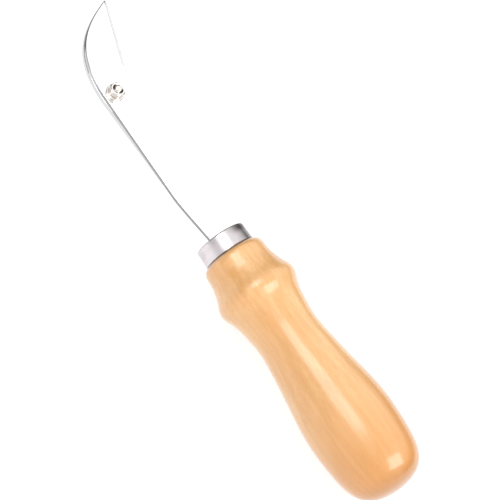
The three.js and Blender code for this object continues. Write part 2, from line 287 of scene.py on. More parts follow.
stations = [
    (0.05, 9.4), (1.1, NECK - 0.6), (2.9, NECK - 0.05), (5.4, NECK + 0.1), (8.4, NECK + 0.75),
    (11.2, NECK + 1.7), (13.6, BEAD - 0.35), (15.2, BEAD), (16.7, BEAD - 0.2), (19, BEAD - 1.1),
    (21.8, BEAD - 2), (26.5, WAIST + 0.55), (31.5, WAIST + 0.05), (38.5, WAIST + 0.5),
    (46.5, WAIST + 1.55), (54, BULB - 1.5), (61, BULB - 0.45), (68, BULB), (74, BULB - 0.15),
    (80, BULB - 0.65), (85.2, BULB - 1.6), (89.2, BULB - 3.4), (91.9, BULB - 6.2),
    (93.5, BULB - 10.4), (BUTT, 0),
]
mirrored = [(x, -radius) for x, radius in stations[-2:-5:-1]]
outside = natural_spline(stations + mirrored, OUTLINE_POINTS)
outside = outside[:np.argmax(outside[:, 1] <= 0)]
outside = np.vstack([outside, [BUTT, 0]])
outside[:, 1] = np.minimum(outside[:, 1], BULB)
print("the outside has", len(outside), "points and is", round(2 * BULB, 1), "mm across the bulb")

# %% [markdown]
# The tang sits in a slot that a drill and a narrow chisel open in the end of the wood. Every row
# of the handle's grid has the same number of columns, so the slot is a ring of the same points,
# squeezed into a rounded rectangle. A Boolean cut would do too, but it would leave thin
# triangles round the slot.

# %% The slot for the tang
TENON = 7.75
SLOT_END, SLOT_HALF_WIDTH, SLOT_HALF_HEIGHT = 56, 3.3, 1.05
HANDLE_COLUMNS = 160

angle = np.linspace(0, 2 * np.pi, HANDLE_COLUMNS, endpoint=False)
round_ring = np.stack([np.cos(angle), np.sin(angle)], axis=-1)
slot_ring = np.sign(round_ring) * np.abs(round_ring) ** 0.25 * [SLOT_HALF_WIDTH, SLOT_HALF_HEIGHT]


def slot_rows(x_values, scales):
    """Rings of the slot: a rounded rectangle, where the eighth powers of the shares that y and z
    have of its half width and half height add up to one."""
    rings = slot_ring[None] * np.asarray(scales, float)[:, None, None]
    x = np.asarray(x_values, float)[:, None, None]
    x = np.broadcast_to(x, (len(x_values), HANDLE_COLUMNS, 1))
    return np.concatenate([x, rings], axis=-1)


print("the slot is", 2 * SLOT_HALF_WIDTH, "mm wide and", 2 * SLOT_HALF_HEIGHT, "mm high")

# %% The handle's surface
share = np.linspace(0, 1, 7)[:, None, None]
face = (1 - share) * slot_ring + share * TENON * round_ring
face = np.concatenate([np.full(face.shape[:2] + (1,), TENON_FACE), face], axis=-1)
shoulder = np.array([[-0.2, TENON], [0.05, TENON], [0.05, 8.6]])
handle_points = np.vstack([
    slot_rows([SLOT_END, SLOT_END, TENON_FACE], [0, 1, 1]),
    face[1:],
    turned_about_x(shoulder, HANDLE_COLUMNS),
    turned_about_x(outside, HANDLE_COLUMNS),
])
handle = finished(
    "handle_surface", handle_points.reshape(-1, 3), quads(len(handle_points), HANDLE_COLUMNS),
    "knife", "wood_handle", sharp=40,
)
store(handle, "end_grain", np.abs(normals(handle)[:, 0]))

# %% [markdown]
# ## The ferrule
#
# A drawn steel sleeve keeps the wood from splitting where the tang is driven in. Its front rim
# turns in over the end of the wood, and its corners are rounded by the drawing die, more at the
# front than at the back. A closed profile turned about the axis gives both walls at once, which
# two tubes with a bridge between them would not do as cleanly.

# %% The ferrule's surface
FERRULE_FRONT = tool_box("ferrule")[0][0]
BORE, RIM_BORE, RIM_THICKNESS = 8.05, 7.2, 0.7
FRONT_RADIUS, REAR_RADIUS = 8.8, 9.0
FERRULE_COLUMNS = 144
inner_front = FERRULE_FRONT + RIM_THICKNESS
ferrule_profile = rounded([
    (0, BORE, 0.1), (inner_front, BORE, 0.1), (inner_front, RIM_BORE, 0.1),
    (FERRULE_FRONT, RIM_BORE, 0.18), (FERRULE_FRONT, FRONT_RADIUS, 0.5), (0, REAR_RADIUS, 0.14),
], steps=8)
ferrule = finished(
    "ferrule_surface", turned_about_x(ferrule_profile, FERRULE_COLUMNS).reshape(-1, 3),
    quads(len(ferrule_profile), FERRULE_COLUMNS, wrap_rows=True), "knife", "ferrule",
)

# %% [markdown]
# ## The plates
#
# The holder and the clamp plate are blanked from sheet, and their arrises are rounded on a
# polishing wheel. Both share the hooked end: the spine sweeps round to the tip on one Bezier
# curve, and the edge side runs straight back to a small shoulder at the blade's heel. Bezier
# curves need few points, and they meet the straight runs without a corner.

# %% Lines and curves of the outlines
def line(*corners, spacing=1.0):
    """Points along straight runs between corners, about a millimetre apart."""
    runs = []
    for start, end in zip(corners[:-1], corners[1:]):
        start, end = np.asarray(start, float), np.asarray(end, float)
        count = max(1, round(np.linalg.norm(end - start) / spacing))
        runs.append(start + np.linspace(0, 1, count, endpoint=False)[:, None] * (end - start))
    return np.vstack(runs)


def bezier(start, *pulls, count=60):
    """A Bezier curve of any degree: each point is a weighted mean, with binomial weights."""
    points = np.array([start, *pulls], float)
    degree = len(points) - 1
    t = np.linspace(0, 1, count, endpoint=False)[:, None]
    k = np.arange(degree + 1)
    weights = np.array([math.comb(degree, i) for i in k]) * t**k * (1 - t) ** (degree - k)
    return weights @ points


# %% The hooked end
TIP = np.array([blade_low[0], blade_high[1]])
HEEL = np.array([blade_high[0], 10.4])
along_edge = (TIP - HEEL) / np.linalg.norm(TIP - HEEL)
inward = np.array([-along_edge[1], along_edge[0]])
PROTRUSION = 1.5
SPINE_AT_HEAD = np.array([-66, -5.6])
HOOK_PULL, TIP_PULL = np.array([-18.8, 0.2]), 16
EDGE_SIDE = 9.1
spine_at_tip = np.array([-0.4, 0.91]) / math.hypot(0.4, 0.91)
plate_tip = TIP - 1.4 * PROTRUSION * spine_at_tip
plate_heel = HEEL + PROTRUSION * inward
heel_end = (plate_heel[0] + 3, EDGE_SIDE)


def hooked_end():
    """From the spine at the head, round the hook to the tip, and back along the cutting side."""
    after_head = SPINE_AT_HEAD + HOOK_PULL
    before_tip = plate_tip - TIP_PULL * spine_at_tip
    return np.vstack([
        bezier(SPINE_AT_HEAD, after_head, before_tip, plate_tip, count=110),
        line(plate_tip, plate_heel),
        bezier(plate_heel, (plate_heel[0] + 1.3, EDGE_SIDE), heel_end, count=16),
    ])


print("the cutting edge is", round(np.linalg.norm(TIP - HEEL), 1), "mm long")

# %% [markdown]
# A plate is its outline carried up through a rounded section: each ring is the outline moved
# inwards by r - r cos a, at the height that r sin a gives. The flat faces close the top and the
# bottom, round the screw hole. A weighted normal keeps the faces dead flat, so that they mirror
# like real sheet, while the arris turns smoothly.

# %% Plates with rounded arrises
def moved_in(outline, distance):
    """The outline moved inwards: each point goes along its bisector, further at a corner."""
    before = outline - np.roll(outline, 1, 0)
    after = np.roll(outline, -1, 0) - outline
    before /= np.linalg.norm(before, axis=1, keepdims=True)
    after /= np.linalg.norm(after, axis=1, keepdims=True)
    left = np.stack([-before[:, 1], before[:, 0]], axis=-1)
    bisector = left + np.stack([-after[:, 1], after[:, 0]], axis=-1)
    bisector /= np.linalg.norm(bisector, axis=1, keepdims=True)
    reach = np.maximum(np.sum(bisector * left, axis=1, keepdims=True), 0.3)
    return outline + distance * bisector / reach


# %% Rounded rims
def rim_section(bottom, top, radius, steps=7):
    """Pairs (inset, height) of a rounded rim, from the bottom face round to the top face."""
    turn = np.linspace(0, np.pi / 2, steps)
    low = np.stack([radius * (1 - np.sin(turn)), bottom + radius * (1 - np.cos(turn))], axis=-1)
    high = low[::-1] * [1, -1] + [0, bottom + top]
    return np.vstack([low, high])


def ring_stack(outline, section):
    """One ring of the outline for each (inset, height) of a section."""
    return np.array([
        np.column_stack([moved_in(outline, inset), np.full(len(outline), height)])
        for inset, height in section
    ])


def circle(centre, radius, count=48):
    """Points round a circle."""
    turn = np.linspace(0, 2 * np.pi, count, endpoint=False)
    return np.asarray(centre) + radius * np.stack([np.cos(turn), np.sin(turn)], axis=-1)


# %% A plate with a hole
HOLE_RIM = 0.12


def plate(name, outline, hole_centre, hole_radius, bottom, top, radius, body, replaces):
    """A plate with a round hole: outer rim, hole rim, and the two flat faces between them."""
    following = np.roll(outline, -1, 0)
    twice_area = np.sum(outline[:, 0] * following[:, 1] - outline[:, 1] * following[:, 0])
    if twice_area < 0:
        outline = outline[::-1]
    hole = circle(hole_centre, hole_radius)[::-1]
    outer = ring_stack(outline, rim_section(bottom, top, radius))
    inner = ring_stack(hole, rim_section(bottom, top, HOLE_RIM, 4))
    first = outer.shape[0] * outer.shape[1]
    faces = quads(*outer.shape[:2]) + quads(*inner.shape[:2], first=first)
    ids = [
        np.arange(first).reshape(outer.shape[:2]),
        first + np.arange(inner[..., 0].size).reshape(inner.shape[:2]),
    ]
    for level in (0, -1):
        loops = [[Vector(p) for p in rings[level]] for rings in (outer, inner)]
        numbers = np.concatenate([part[level] for part in ids])
        faces += [[int(numbers[i]) for i in triangle] for triangle in tessellate_polygon(loops)]
    points = np.vstack([outer.reshape(-1, 3), inner.reshape(-1, 3)])
    return finished(name, points, faces, body, replaces, sharp=35)


def keep_faces_flat(piece):
    """Large faces keep their own normal, and the shading turns only in the rounded arris."""
    flat = piece.modifiers.new("flat_faces", "WEIGHTED_NORMAL")
    flat.keep_sharp = True
    flat.weight = 100


# %% [markdown]
# The holder's seat and dimple, the clamp plate's pip and the screw's slot each meet a finished
# surface at a crisp edge. An exact Boolean makes that edge from two simple closed shapes. It is
# applied at once, so the piece stays one plain mesh.

# %% Cutting and joining
def combine(piece, operation, points, faces):
    """Cuts a closed shape out of a piece or joins it on, with a Boolean that is then applied."""
    mesh = bpy.data.meshes.new("cutter")
    mesh.from_pydata((ORIGIN + np.asarray(points) * MM).tolist(), [], faces)
    work = bmesh.new()
    work.from_mesh(mesh)
    bmesh.ops.remove_doubles(work, verts=work.verts, dist=2e-7)
    bmesh.ops.recalc_face_normals(work, faces=work.faces)
    work.to_mesh(mesh)
    work.free()
    cutter = bpy.data.objects.new("cutter", mesh)
    bpy.context.scene.collection.objects.link(cutter)
    boolean = piece.modifiers.new("cut", "BOOLEAN")
    boolean.object = cutter
    boolean.operation = operation
    boolean.solver = "EXACT"
    bpy.context.view_layer.update()
    evaluated = piece.evaluated_get(bpy.context.evaluated_depsgraph_get())
    result = bpy.data.meshes.new_from_object(evaluated)
    piece.modifiers.clear()
    piece.data = result
    bpy.data.objects.remove(cutter)
    print(piece.name, "now has", len(result.polygons), "faces")


def prism(outline, bottom, top):
    """The points and faces of an upright prism over an outline."""
    outline = np.asarray(outline, float)
    count = len(outline)
    low = np.column_stack([outline, np.full(count, bottom)])
    high = np.column_stack([outline, np.full(count, top)])
    caps = [list(range(count)), list(range(2 * count - 1, count - 1, -1))]
    return np.vstack([low, high]), quads(2, count) + caps


# %% [markdown]
# The holder is the knife's backbone: a tang driven into the handle, a shank, and the hooked head
# that backs the blade. Its outline is drawn once round, and carried up through the thickness of
# the sheet.

# %% The holder
SCREW = (screw_low[:2] + screw_high[:2]) / 2
HOLE = 1.4
ARRIS = 0.42
SHANK_START = FERRULE_FRONT + 0.7
HALF_SHANK, HALF_TANG, HALF_TANG_END = 3.7, 3, 1.75
SPINE_AT_SHANK = -6.1
TANG_END = holder_high[0]

tang = [
    (TANG_END, HALF_TANG_END), (0, HALF_TANG), (SHANK_START, HALF_TANG), (SHANK_START, HALF_SHANK),
]
spine_side = [(x, -y) for x, y in tang]
spine_start, spine_pull = (-25, SPINE_AT_SHANK), (-20, SPINE_AT_SHANK + 0.3)
holder_outline = np.vstack([
    line(*spine_side, spacing=3),
    bezier((SHANK_START, -HALF_SHANK), spine_pull, spine_start, count=30),
    line(spine_start, SPINE_AT_HEAD),
    hooked_end(),
    line(heel_end, (-41, EDGE_SIDE + 0.2)),
    bezier((-41, EDGE_SIDE + 0.2), (-38, EDGE_SIDE + 0.2), (SHANK_START, HALF_SHANK), count=50),
    line(*tang[::-1], spine_side[0], spacing=3),
])
holder = plate(
    "holder_surface", holder_outline, SCREW, HOLE, holder_low[2], holder_high[2], ARRIS,
    "knife", "blade_holder",
)

# %% [markdown]
# Under the hook the holder has a shallow seat, milled a little larger than the blade and open
# towards the cutting side, so that a blunt blade slides out sideways. A round dimple near the
# shank takes the clamp plate's pip. Both are cut out of the finished plate from below.

# %% The blade's seat
BLADE_DEPTH = 7
SEAT_GAP = 0.3
RUN_OUT = 6
CLEARANCE = 0.05
blade_back = np.array([(-96.1, 13.1), (-91.2, 6.6), (-86.2, 2.9)])
seat_way = -RUN_OUT * inward
seat_side = -SEAT_GAP * along_edge
seat_outline = np.vstack([
    (HEEL + seat_way + seat_side)[None],
    (TIP + seat_way + 3 * along_edge)[None],
    bezier(TIP + 2 * SEAT_GAP * inward, *(blade_back + SEAT_GAP * inward), count=40),
    (blade_back[-1] + SEAT_GAP * inward)[None],
    (HEEL + (BLADE_DEPTH + SEAT_GAP) * inward + seat_side)[None],
])
SEAT_TOP = blade_high[2] + CLEARANCE
combine(holder, "DIFFERENCE", *prism(seat_outline, holder_low[2] - 1, SEAT_TOP))

# %% The dimple for the pip
PIP, PIP_RADIUS, PIP_HEIGHT = (-33, 1), 1.0, 0.8
dimple = prism(circle(PIP, PIP_RADIUS + 0.2), holder_low[2] - 1, holder_low[2] + PIP_HEIGHT + 0.1)
combine(holder, "DIFFERENCE", *dimple)
store(holder, "rim", 1 - np.abs(normals(holder)[:, 2]))
keep_faces_flat(holder)

# %% [markdown]
# The clamp plate lies under the holder and presses the blade into its seat. Its rear end is a
# half round that bears on the shank, and a small pip near it drops into the holder's dimple, so
# that the plate can't turn about the screw. It takes the same hooked end as the holder, which
# keeps both outlines together round the blade.

# %% The clamp plate
CLAMP_TOP = holder_low[2] - CLEARANCE
rear, rear_at_spine, rear_at_edge = (-26, 1), (-33, -4.7), (-46, 8.2)
clamp_outline = np.vstack([
    bezier(rear, (-26, -2.6), (-28, -4.4), rear_at_spine, count=40),
    line(rear_at_spine, SPINE_AT_HEAD),
    hooked_end(),
    line(heel_end, rear_at_edge),
    bezier(rear_at_edge, (-34, 7.4), (-26, 5), rear, count=50),
])
clamp = plate(
    "clamp_plate_surface", clamp_outline, SCREW, HOLE, clamp_low[2], CLAMP_TOP, ARRIS,
    "clamp", "clamp_plate",
)

# %% The pip
pip_profile = np.array([
    (0, CLAMP_TOP - 0.6), (PIP_RADIUS, CLAMP_TOP - 0.6), (PIP_RADIUS, CLAMP_TOP + PIP_HEIGHT - 0.3),
    (PIP_RADIUS - 0.12, CLAMP_TOP + PIP_HEIGHT - 0.1), (PIP_RADIUS - 0.4, CLAMP_TOP + PIP_HEIGHT),
    (0, CLAMP_TOP + PIP_HEIGHT),
])
pip = turned_about_z(pip_profile, PIP, 48)
combine(clamp, "UNION", pip.reshape(-1, 3), quads(*pip.shape[:2]))
store(clamp, "rim", 1 - np.abs(normals(clamp)[:, 2]))
keep_faces_flat(clamp)

# %% [markdown]
# ## The blade
#
# The blade is a thin leaf, hardened and ground on its upper side only. A cut-out shape with a
# bevel modifier could pass for it, but the ground bevel has its own width and angle. So its
# surface is a section carried along the cutting edge: a honed land, the ground bevel, the flat,
# and the back, whose distance from the edge follows the leaf's outline.

# %% The leaf's outline
edge_length = np.linalg.norm(TIP - HEEL)
back_line = np.vstack([
    (HEEL + BLADE_DEPTH * inward)[None],
    bezier(blade_back[2], blade_back[1], blade_back[0], TIP, count=60),
    TIP[None],
]) - HEEL
station = 0.5 - 0.5 * np.cos(np.linspace(0, np.pi, 120))
depth = np.interp(station * edge_length, back_line @ along_edge, back_line @ inward)
depth = np.maximum(depth, 1e-4)[:, None]
leaf_size = [round(float(side), 1) for side in (edge_length, depth.max())]
print("the leaf's length and depth in mm:", leaf_size)

# %% The blade's section
BLADE_BOTTOM, BLADE_TOP = blade_low[2], blade_high[2]
EDGE_BEVEL, HONED, LAND = 1.6, 0.16, 0.09
BACK_CORNER = 0.06
thickness = BLADE_TOP - BLADE_BOTTOM
shrink = np.minimum(1, depth / (2 * EDGE_BEVEL))
shares = np.array([0, HONED / EDGE_BEVEL, 1])
heights = np.array([0, LAND / thickness, 1])
rise = BLADE_BOTTOM + shrink * thickness * heights
reach = shrink * EDGE_BEVEL * shares
corner = BACK_CORNER * shrink
far = np.hstack([depth - corner, depth, depth, depth - corner])
top = BLADE_BOTTOM + shrink * thickness
far_z = np.hstack([top, top - corner, BLADE_BOTTOM + corner, np.full_like(top, BLADE_BOTTOM)])
q = np.hstack([reach, far])
z = np.hstack([rise, far_z])
print("the blade is", round(float(thickness), 2), "mm thick, its section has", q.shape[1], "points")

# %% The blade's surface
plan = HEEL + (station * edge_length)[:, None, None] * along_edge + q[..., None] * inward
blade_points = np.concatenate([plan, z[..., None]], axis=-1)
heel_pole = np.broadcast_to(blade_points[:1].mean(axis=1, keepdims=True), blade_points[:1].shape)
tip_pole = np.broadcast_to(blade_points[-1:].mean(axis=1, keepdims=True), blade_points[-1:].shape)
blade_points = np.vstack([heel_pole, blade_points, tip_pole])
blade = finished(
    "blade_surface", blade_points.reshape(-1, 3), quads(*blade_points.shape[:2]),
    "blade", "skiving_blade", sharp=8,
)

# %% [markdown]
# ## Screw, washer and nut
#
# One small screw pinches the blade between the plates. It comes up from below: a domed head with
# a slot for a screwdriver, a threaded shaft, and a domed end that stands out of the nut. It is
# turned in one piece from its outline, and the thread is pressed into it afterwards.

# %% The screw's outline
THREAD = 1.25
HEAD_RADIUS = (screw_high[0] - screw_low[0]) / 2
HEAD_BOTTOM, SCREW_TOP = screw_low[2], screw_high[2]
HEAD_TOP = clamp_low[2] - CLEARANCE

head = np.array([
    (0, HEAD_BOTTOM), (0.9, HEAD_BOTTOM + 0.02), (1.6, HEAD_BOTTOM + 0.1),
    (2.05, HEAD_BOTTOM + 0.28), (2.32, HEAD_BOTTOM + 0.55), (HEAD_RADIUS - 0.04, HEAD_BOTTOM + 0.9),
    (HEAD_RADIUS, HEAD_BOTTOM + 1.2), (HEAD_RADIUS, HEAD_TOP - 0.08),
    (HEAD_RADIUS - 0.08, HEAD_TOP), (THREAD + 0.05, HEAD_TOP),
])
shaft_z = np.arange(HEAD_TOP + 0.02, SCREW_TOP - 0.42, 0.045)
shaft = np.column_stack([np.full(len(shaft_z), THREAD), shaft_z])
dome_turn = np.linspace(0, np.pi / 2, 12)
dome_z = SCREW_TOP - 0.4 * (1 - np.sin(dome_turn))
dome = np.column_stack([0.98 * THREAD * np.cos(dome_turn), dome_z])
print("the screw is", round(float(SCREW_TOP - HEAD_BOTTOM), 1), "mm long")

# %% [markdown]
# The thread is a small wave in the shaft's radius that climbs by one pitch for each turn: a
# triangle wave of the height over the pitch, less the angle's share of a turn. A helix swept as a
# separate shape would cut through the shaft, and the wave keeps the screw one closed surface.

# %% The screw and its thread
PITCH, THREAD_DEPTH = 0.45, 0.22
screw_points = turned_about_z(np.vstack([head, shaft, dome]), SCREW)
turn = np.arctan2(screw_points[..., 1] - SCREW[1], screw_points[..., 0] - SCREW[0]) / (2 * np.pi)
wave = np.abs(2 * ((screw_points[..., 2] / PITCH - turn) % 1) - 1)
threaded = np.zeros(screw_points.shape[:2])
threaded[len(head):len(head) + len(shaft)] = 1
narrowing = 1 - threaded * wave * THREAD_DEPTH / THREAD
screw_points[..., :2] = SCREW + (screw_points[..., :2] - SCREW) * narrowing[..., None]
screw = finished(
    "screw_surface", screw_points.reshape(-1, 3), quads(*screw_points.shape[:2]),
    "clamp", "clamp_screw", sharp=50,
)

# %% The slot in the screw's head
SLOT_HALF, SLOT_DEPTH, PAST_HEAD = 0.35, 0.7, 4
slot_corners = np.array([(-1, -1), (1, -1), (1, 1), (-1, 1)]) * [PAST_HEAD, SLOT_HALF]
slot_outline = SCREW + slot_corners
combine(screw, "DIFFERENCE", *prism(slot_outline, HEAD_BOTTOM - 1, HEAD_BOTTOM + SLOT_DEPTH))

# %% [markdown]
# A punched washer spreads the nut's pressure. Punching rounds its upper edge more than its lower
# one, and a profile with a radius at each corner says that directly.

# %% The washer
WASHER_RADIUS = (washer_high[0] - washer_low[0]) / 2
washer_profile = rounded([
    (HOLE, washer_low[2], 0.06), (WASHER_RADIUS, washer_low[2], 0.08),
    (WASHER_RADIUS, washer_high[2], 0.18), (HOLE, washer_high[2], 0.1),
])
washer = finished(
    "washer_surface", turned_about_z(washer_profile, SCREW, 96).reshape(-1, 3),
    quads(len(washer_profile), 96, wrap_rows=True), "knife", "clamp_washer",
)

# %% [markdown]
# The nut is a hexagon bar whose corners a cone takes off at both faces, so each corner's flank
# ends lower than the middle of a flat. Its radius at an angle is half the width across flats over
# the cosine of the angle from the nearest flat's middle. The bore opens in a countersink at the
# top, which the plating's finish paints dark as shade round the screw's end.

# %% The nut's radius and bevel
NUT_FLATS = nut_high[0] - nut_low[0]
NUT_BOTTOM, NUT_TOP = nut_low[2], nut_high[2]
NUT_COLUMNS = 180
nut_angle = np.linspace(0, 2 * np.pi, NUT_COLUMNS, endpoint=False)
flank = NUT_FLATS / 2 / np.cos((nut_angle + np.pi / 6) % (np.pi / 3) - np.pi / 6)
flank = np.minimum(flank, NUT_FLATS / math.sqrt(3) - 0.06)
cone = NUT_FLATS / 2 - 0.12
drop = (flank - cone) * math.tan(math.radians(32))
print("the nut is", round(float(NUT_FLATS), 2), "mm across its flats")

# %% The nut
NUT_BORE, COUNTERSINK = 1.36, 1.85
flat = np.ones(NUT_COLUMNS)
nut_rings = [
    (NUT_BORE * flat, (NUT_BOTTOM + 0.15) * flat), (NUT_BORE * flat, (NUT_TOP - 0.5) * flat),
    (COUNTERSINK * flat, (NUT_TOP - 0.04) * flat), ((COUNTERSINK + 0.06) * flat, NUT_TOP * flat),
    ((cone - 0.05) * flat, NUT_TOP * flat), (cone + 0.03 * flat, NUT_TOP - 0.02 * flat),
    (flank - 0.05, NUT_TOP - drop), (flank, NUT_TOP - drop - 0.06),
    (flank, NUT_BOTTOM + drop * 0.6 + 0.06), (flank - 0.05, NUT_BOTTOM + drop * 0.6),
    ((cone - 0.05) * flat, NUT_BOTTOM * flat), (1.5 * flat, NUT_BOTTOM * flat),
]
nut_points = np.array([
    np.column_stack([SCREW[0] + r * np.cos(nut_angle), SCREW[1] + r * np.sin(nut_angle), height])
    for r, height in nut_rings
])
nut = finished(
    "nut_surface", nut_points.reshape(-1, 3), quads(*nut_points.shape[:2], wrap_rows=True),
    "nut", "clamp_nut", sharp=25,
)

# %% [markdown]
# ## Writing materials as sums
#
# Node trees are hard to read, and a formula isn't. A wire wraps one socket, and its operators
# add Math nodes, so that `0.2 + 0.1 * grain` builds two nodes and their links. Any other node
# comes from one method, which takes its type, its settings, and its sockets' values or links.

# %% Wires
class Wire:
    """A socket that gives a value. Arithmetic on wires adds Math nodes to their tree."""

    def __init__(self, finish, socket):
        self.finish = finish
        self.socket = socket

    def math(self, operation, *others):
        values = dict(enumerate([self, *others]))
        return self.finish.node("ShaderNodeMath", {"operation": operation}, values)

    def __add__(self, other):
        return self.math("ADD", other)

    def __sub__(self, other):
        return self.math("SUBTRACT", other)

    def __rsub__(self, other):
        return self.math("MULTIPLY_ADD", -1.0, other)

    def __mul__(self, other):
        return self.math("MULTIPLY", other)

    def __pow__(self, other):
        return self.math("POWER", other)

    __radd__ = __add__
    __rmul__ = __mul__


# %% Finishes
def opaque(colour):
    """A plain colour gets its fourth number, and a wire stays as it is."""
    return colour if isinstance(colour, Wire) else (*colour, 1)


class Finish:
    """A node tree that ends in one shader, with the methods that build it up."""

    def __init__(self, owner, shader="Principled BSDF"):
        self.owner = owner
        self.owner.use_nodes = True
        self.tree = owner.node_tree
        self.shader = self.tree.nodes[shader]

    def node(self, kind, settings=None, values=None, out=0):
        """Adds a node with its settings, and then fills or links its sockets."""
        node = self.tree.nodes.new(kind)
        for key, setting in (settings or {}).items():
            setattr(node, key, setting)
        for key, value in (values or {}).items():
            self.plug(node.inputs[key], value)
        return Wire(self, node.outputs[out])

    def plug(self, socket, value):
        """Links a wire to a socket, or writes a plain value into it."""
        if isinstance(value, Wire):
            self.tree.links.new(value.socket, socket)
        else:
            socket.default_value = value

    def set(self, **values):
        """Sets the shader's own sockets: base_color is Base Color, and so on."""
        for key, value in values.items():
            name = key.replace("_", " ").title().replace("Ior", "IOR")
            self.plug(self.shader.inputs[name], value)

    def stored(self, name):
        """A number kept on the vertices."""
        return self.node("ShaderNodeAttribute", {"attribute_name": name}, out="Fac")

    def millimetres(self):
        """The place on the piece, in millimetres from the tool's own origin."""
        vector_math = "ShaderNodeVectorMath"
        place = self.node("ShaderNodeTexCoord", out="Object")
        place = self.node(vector_math, {"operation": "SUBTRACT"}, {0: place, 1: tuple(ORIGIN)})
        return self.node(vector_math, {"operation": "SCALE"}, {0: place, "Scale": 1 / MM})

    def stretched(self, place, scale, turn=(0, 0, 0)):
        """The place, turned and then scaled along each axis, so that a pattern runs lengthways."""
        values = {"Vector": place, "Rotation": turn, "Scale": scale}
        return self.node("ShaderNodeMapping", None, values)

    def joined(self, x, y, z):
        """A new place to read a pattern at, put together from three wires or numbers."""
        return self.node("ShaderNodeCombineXYZ", None, {0: x, 1: y, 2: z})

    def noise(self, place, scale=1.0, detail=2.0, roughness=0.5):
        """A cloudy pattern from 0 to 1, finer as scale grows and crisper with more detail."""
        values = {"Vector": place, "Scale": scale, "Detail": detail, "Roughness": roughness}
        return self.node("ShaderNodeTexNoise", None, values)

    def step(self, value, low, high):
        """Rises smoothly from 0 at low to 1 at high."""
        settings = {"interpolation_type": "SMOOTHSTEP"}
        values = {"Value": value, "From Min": low, "From Max": high}
        return self.node("ShaderNodeMapRange", settings, values)

    def mix(self, share, first, second):
        """One colour blended into another by a share from 0 to 1."""
        values = {0: share, 6: opaque(first), 7: opaque(second)}
        return self.node("ShaderNodeMix", {"data_type": "RGBA"}, values, out=2)

    def split(self, place):
        """The three parts of a vector, as wires."""
        node = self.tree.nodes.new("ShaderNodeSeparateXYZ")
        self.plug(node.inputs[0], place)
        return [Wire(self, part) for part in node.outputs]

    def bump(self, height):
        """A Bump node whose height is in millimetres, fed to the shader's Normal."""
        values = {"Height": height, "Distance": MM, "Strength": 1.0}
        self.set(normal=self.node("ShaderNodeBump", None, values))

    def paint(self, *pieces):
        """Puts the finish on each piece, alone."""
        for piece in pieces:
            piece.data.materials.clear()
            piece.data.materials.append(self.owner)
            print(piece.name, "wears", self.owner.name, "with", len(self.tree.nodes), "nodes")


# %% [markdown]
# ## Lacquered wood
#
# The wood is pale and fine grained, with the grain along the handle. Growth rings are nearly
# flat layers from a tree much thicker than the handle, so they show as long faint ovals where
# the bulb cuts through them. Short darker flecks are the rays. Where the turning cuts across the
# fibres, at the bead and the butt, end grain drinks more lacquer and goes darker and redder.
# Towards the butt the colour deepens to amber, as painted shade. Lacquer and dust gather in the
# seam at the ferrule, and painted shade of the gap joins them in a thin brown line. Over it all
# lies a thick clear gloss, which is the shader's coat. Noise stretched along the handle makes
# fibres that run through the wood, so the bulb and the butt cut them as a real turning does, and
# a flat picture of wood couldn't.

# %% The wood
def lacquered_wood():
    wood = Finish(bpy.data.materials.new("lacquered_wood"))
    place = wood.millimetres()
    x, y, z = wood.split(place)

    sway = wood.noise(wood.stretched(place, (0.018, 0.05, 0.05)), detail=3.0)
    pith = ((y * 0.86 + z * 0.5 + 70) ** 2 + (z * 0.86 - y * 0.5 + 24) ** 2) ** 0.5
    growth = (pith + 9 * sway + x * 0.03) * 2.3
    rings = wood.step(wood.node("ShaderNodeMath", {"operation": "SINE"}, {0: growth}), -0.7, 1.0)

    fibre = wood.noise(wood.stretched(place, (0.09, 3.2, 3.2)), detail=5.0, roughness=0.62)
    streaks = wood.noise(wood.stretched(place, (0.02, 0.55, 0.55)), detail=3.0)
    clouds = wood.noise(wood.stretched(place, (0.03, 0.08, 0.08)), detail=2.0)
    flecks = wood.noise(wood.stretched(place, (0.42, 5.5, 5.5)), detail=1.0)
    flecks = wood.step(flecks, 0.66, 0.76)
    end_grain = wood.step(wood.stored("end_grain"), 0.3, 0.98)
    pores = wood.noise(wood.stretched(place, (2.5, 6, 6)), detail=2.0)
    pores = wood.step(pores, 0.56, 0.7) * end_grain
    # A thin brown line at the ferrule: lacquer and dust in the seam, together with painted shade of
    # the gap.
    wood_seam_lacquer_and_shade = wood.step(x, -0.3, -0.1) * (1 - wood.step(x, 0.2, 0.6))

    pale, warm, butt_shade_amber = (0.83, 0.49, 0.215), (0.73, 0.37, 0.13), (0.66, 0.27, 0.06)
    tan, ray, red = (0.49, 0.235, 0.075), (0.42, 0.19, 0.07), (0.44, 0.175, 0.04)
    pore, seam_lacquer_and_shade_brown = (0.34, 0.13, 0.04), (0.075, 0.033, 0.015)
    colour = wood.mix(wood.step(clouds * 0.55 + streaks * 0.45, 0.36, 0.66), pale, warm)
    # Darker and more orange towards the butt: painted shade.
    colour = wood.mix(wood.step(x, 50.0, 94.0) * 0.8, colour, butt_shade_amber)
    colour = wood.mix(rings * 0.2, colour, warm)
    colour = wood.mix(wood.step(fibre, 0.42, 0.75) * 0.3, colour, tan)
    colour = wood.mix(flecks * 0.28, colour, ray)
    colour = wood.mix(end_grain * 0.55, colour, red)
    colour = wood.mix(pores * 0.35, colour, pore)
    colour = wood.mix(wood_seam_lacquer_and_shade * 0.9, colour, seam_lacquer_and_shade_brown)

    ripple = wood.noise(place, scale=0.35, detail=1.0)
    relief = fibre * 0.010 + ripple * 0.03 - flecks * 0.008
    wood.bump(relief)
    wood.set(
        base_color=colour, roughness=0.34 + 0.16 * fibre, coat_weight=1.0,
        coat_roughness=0.17, coat_ior=1.6, specular_ior_level=0.4,
    )
    return wood


lacquered_wood().paint(handle)
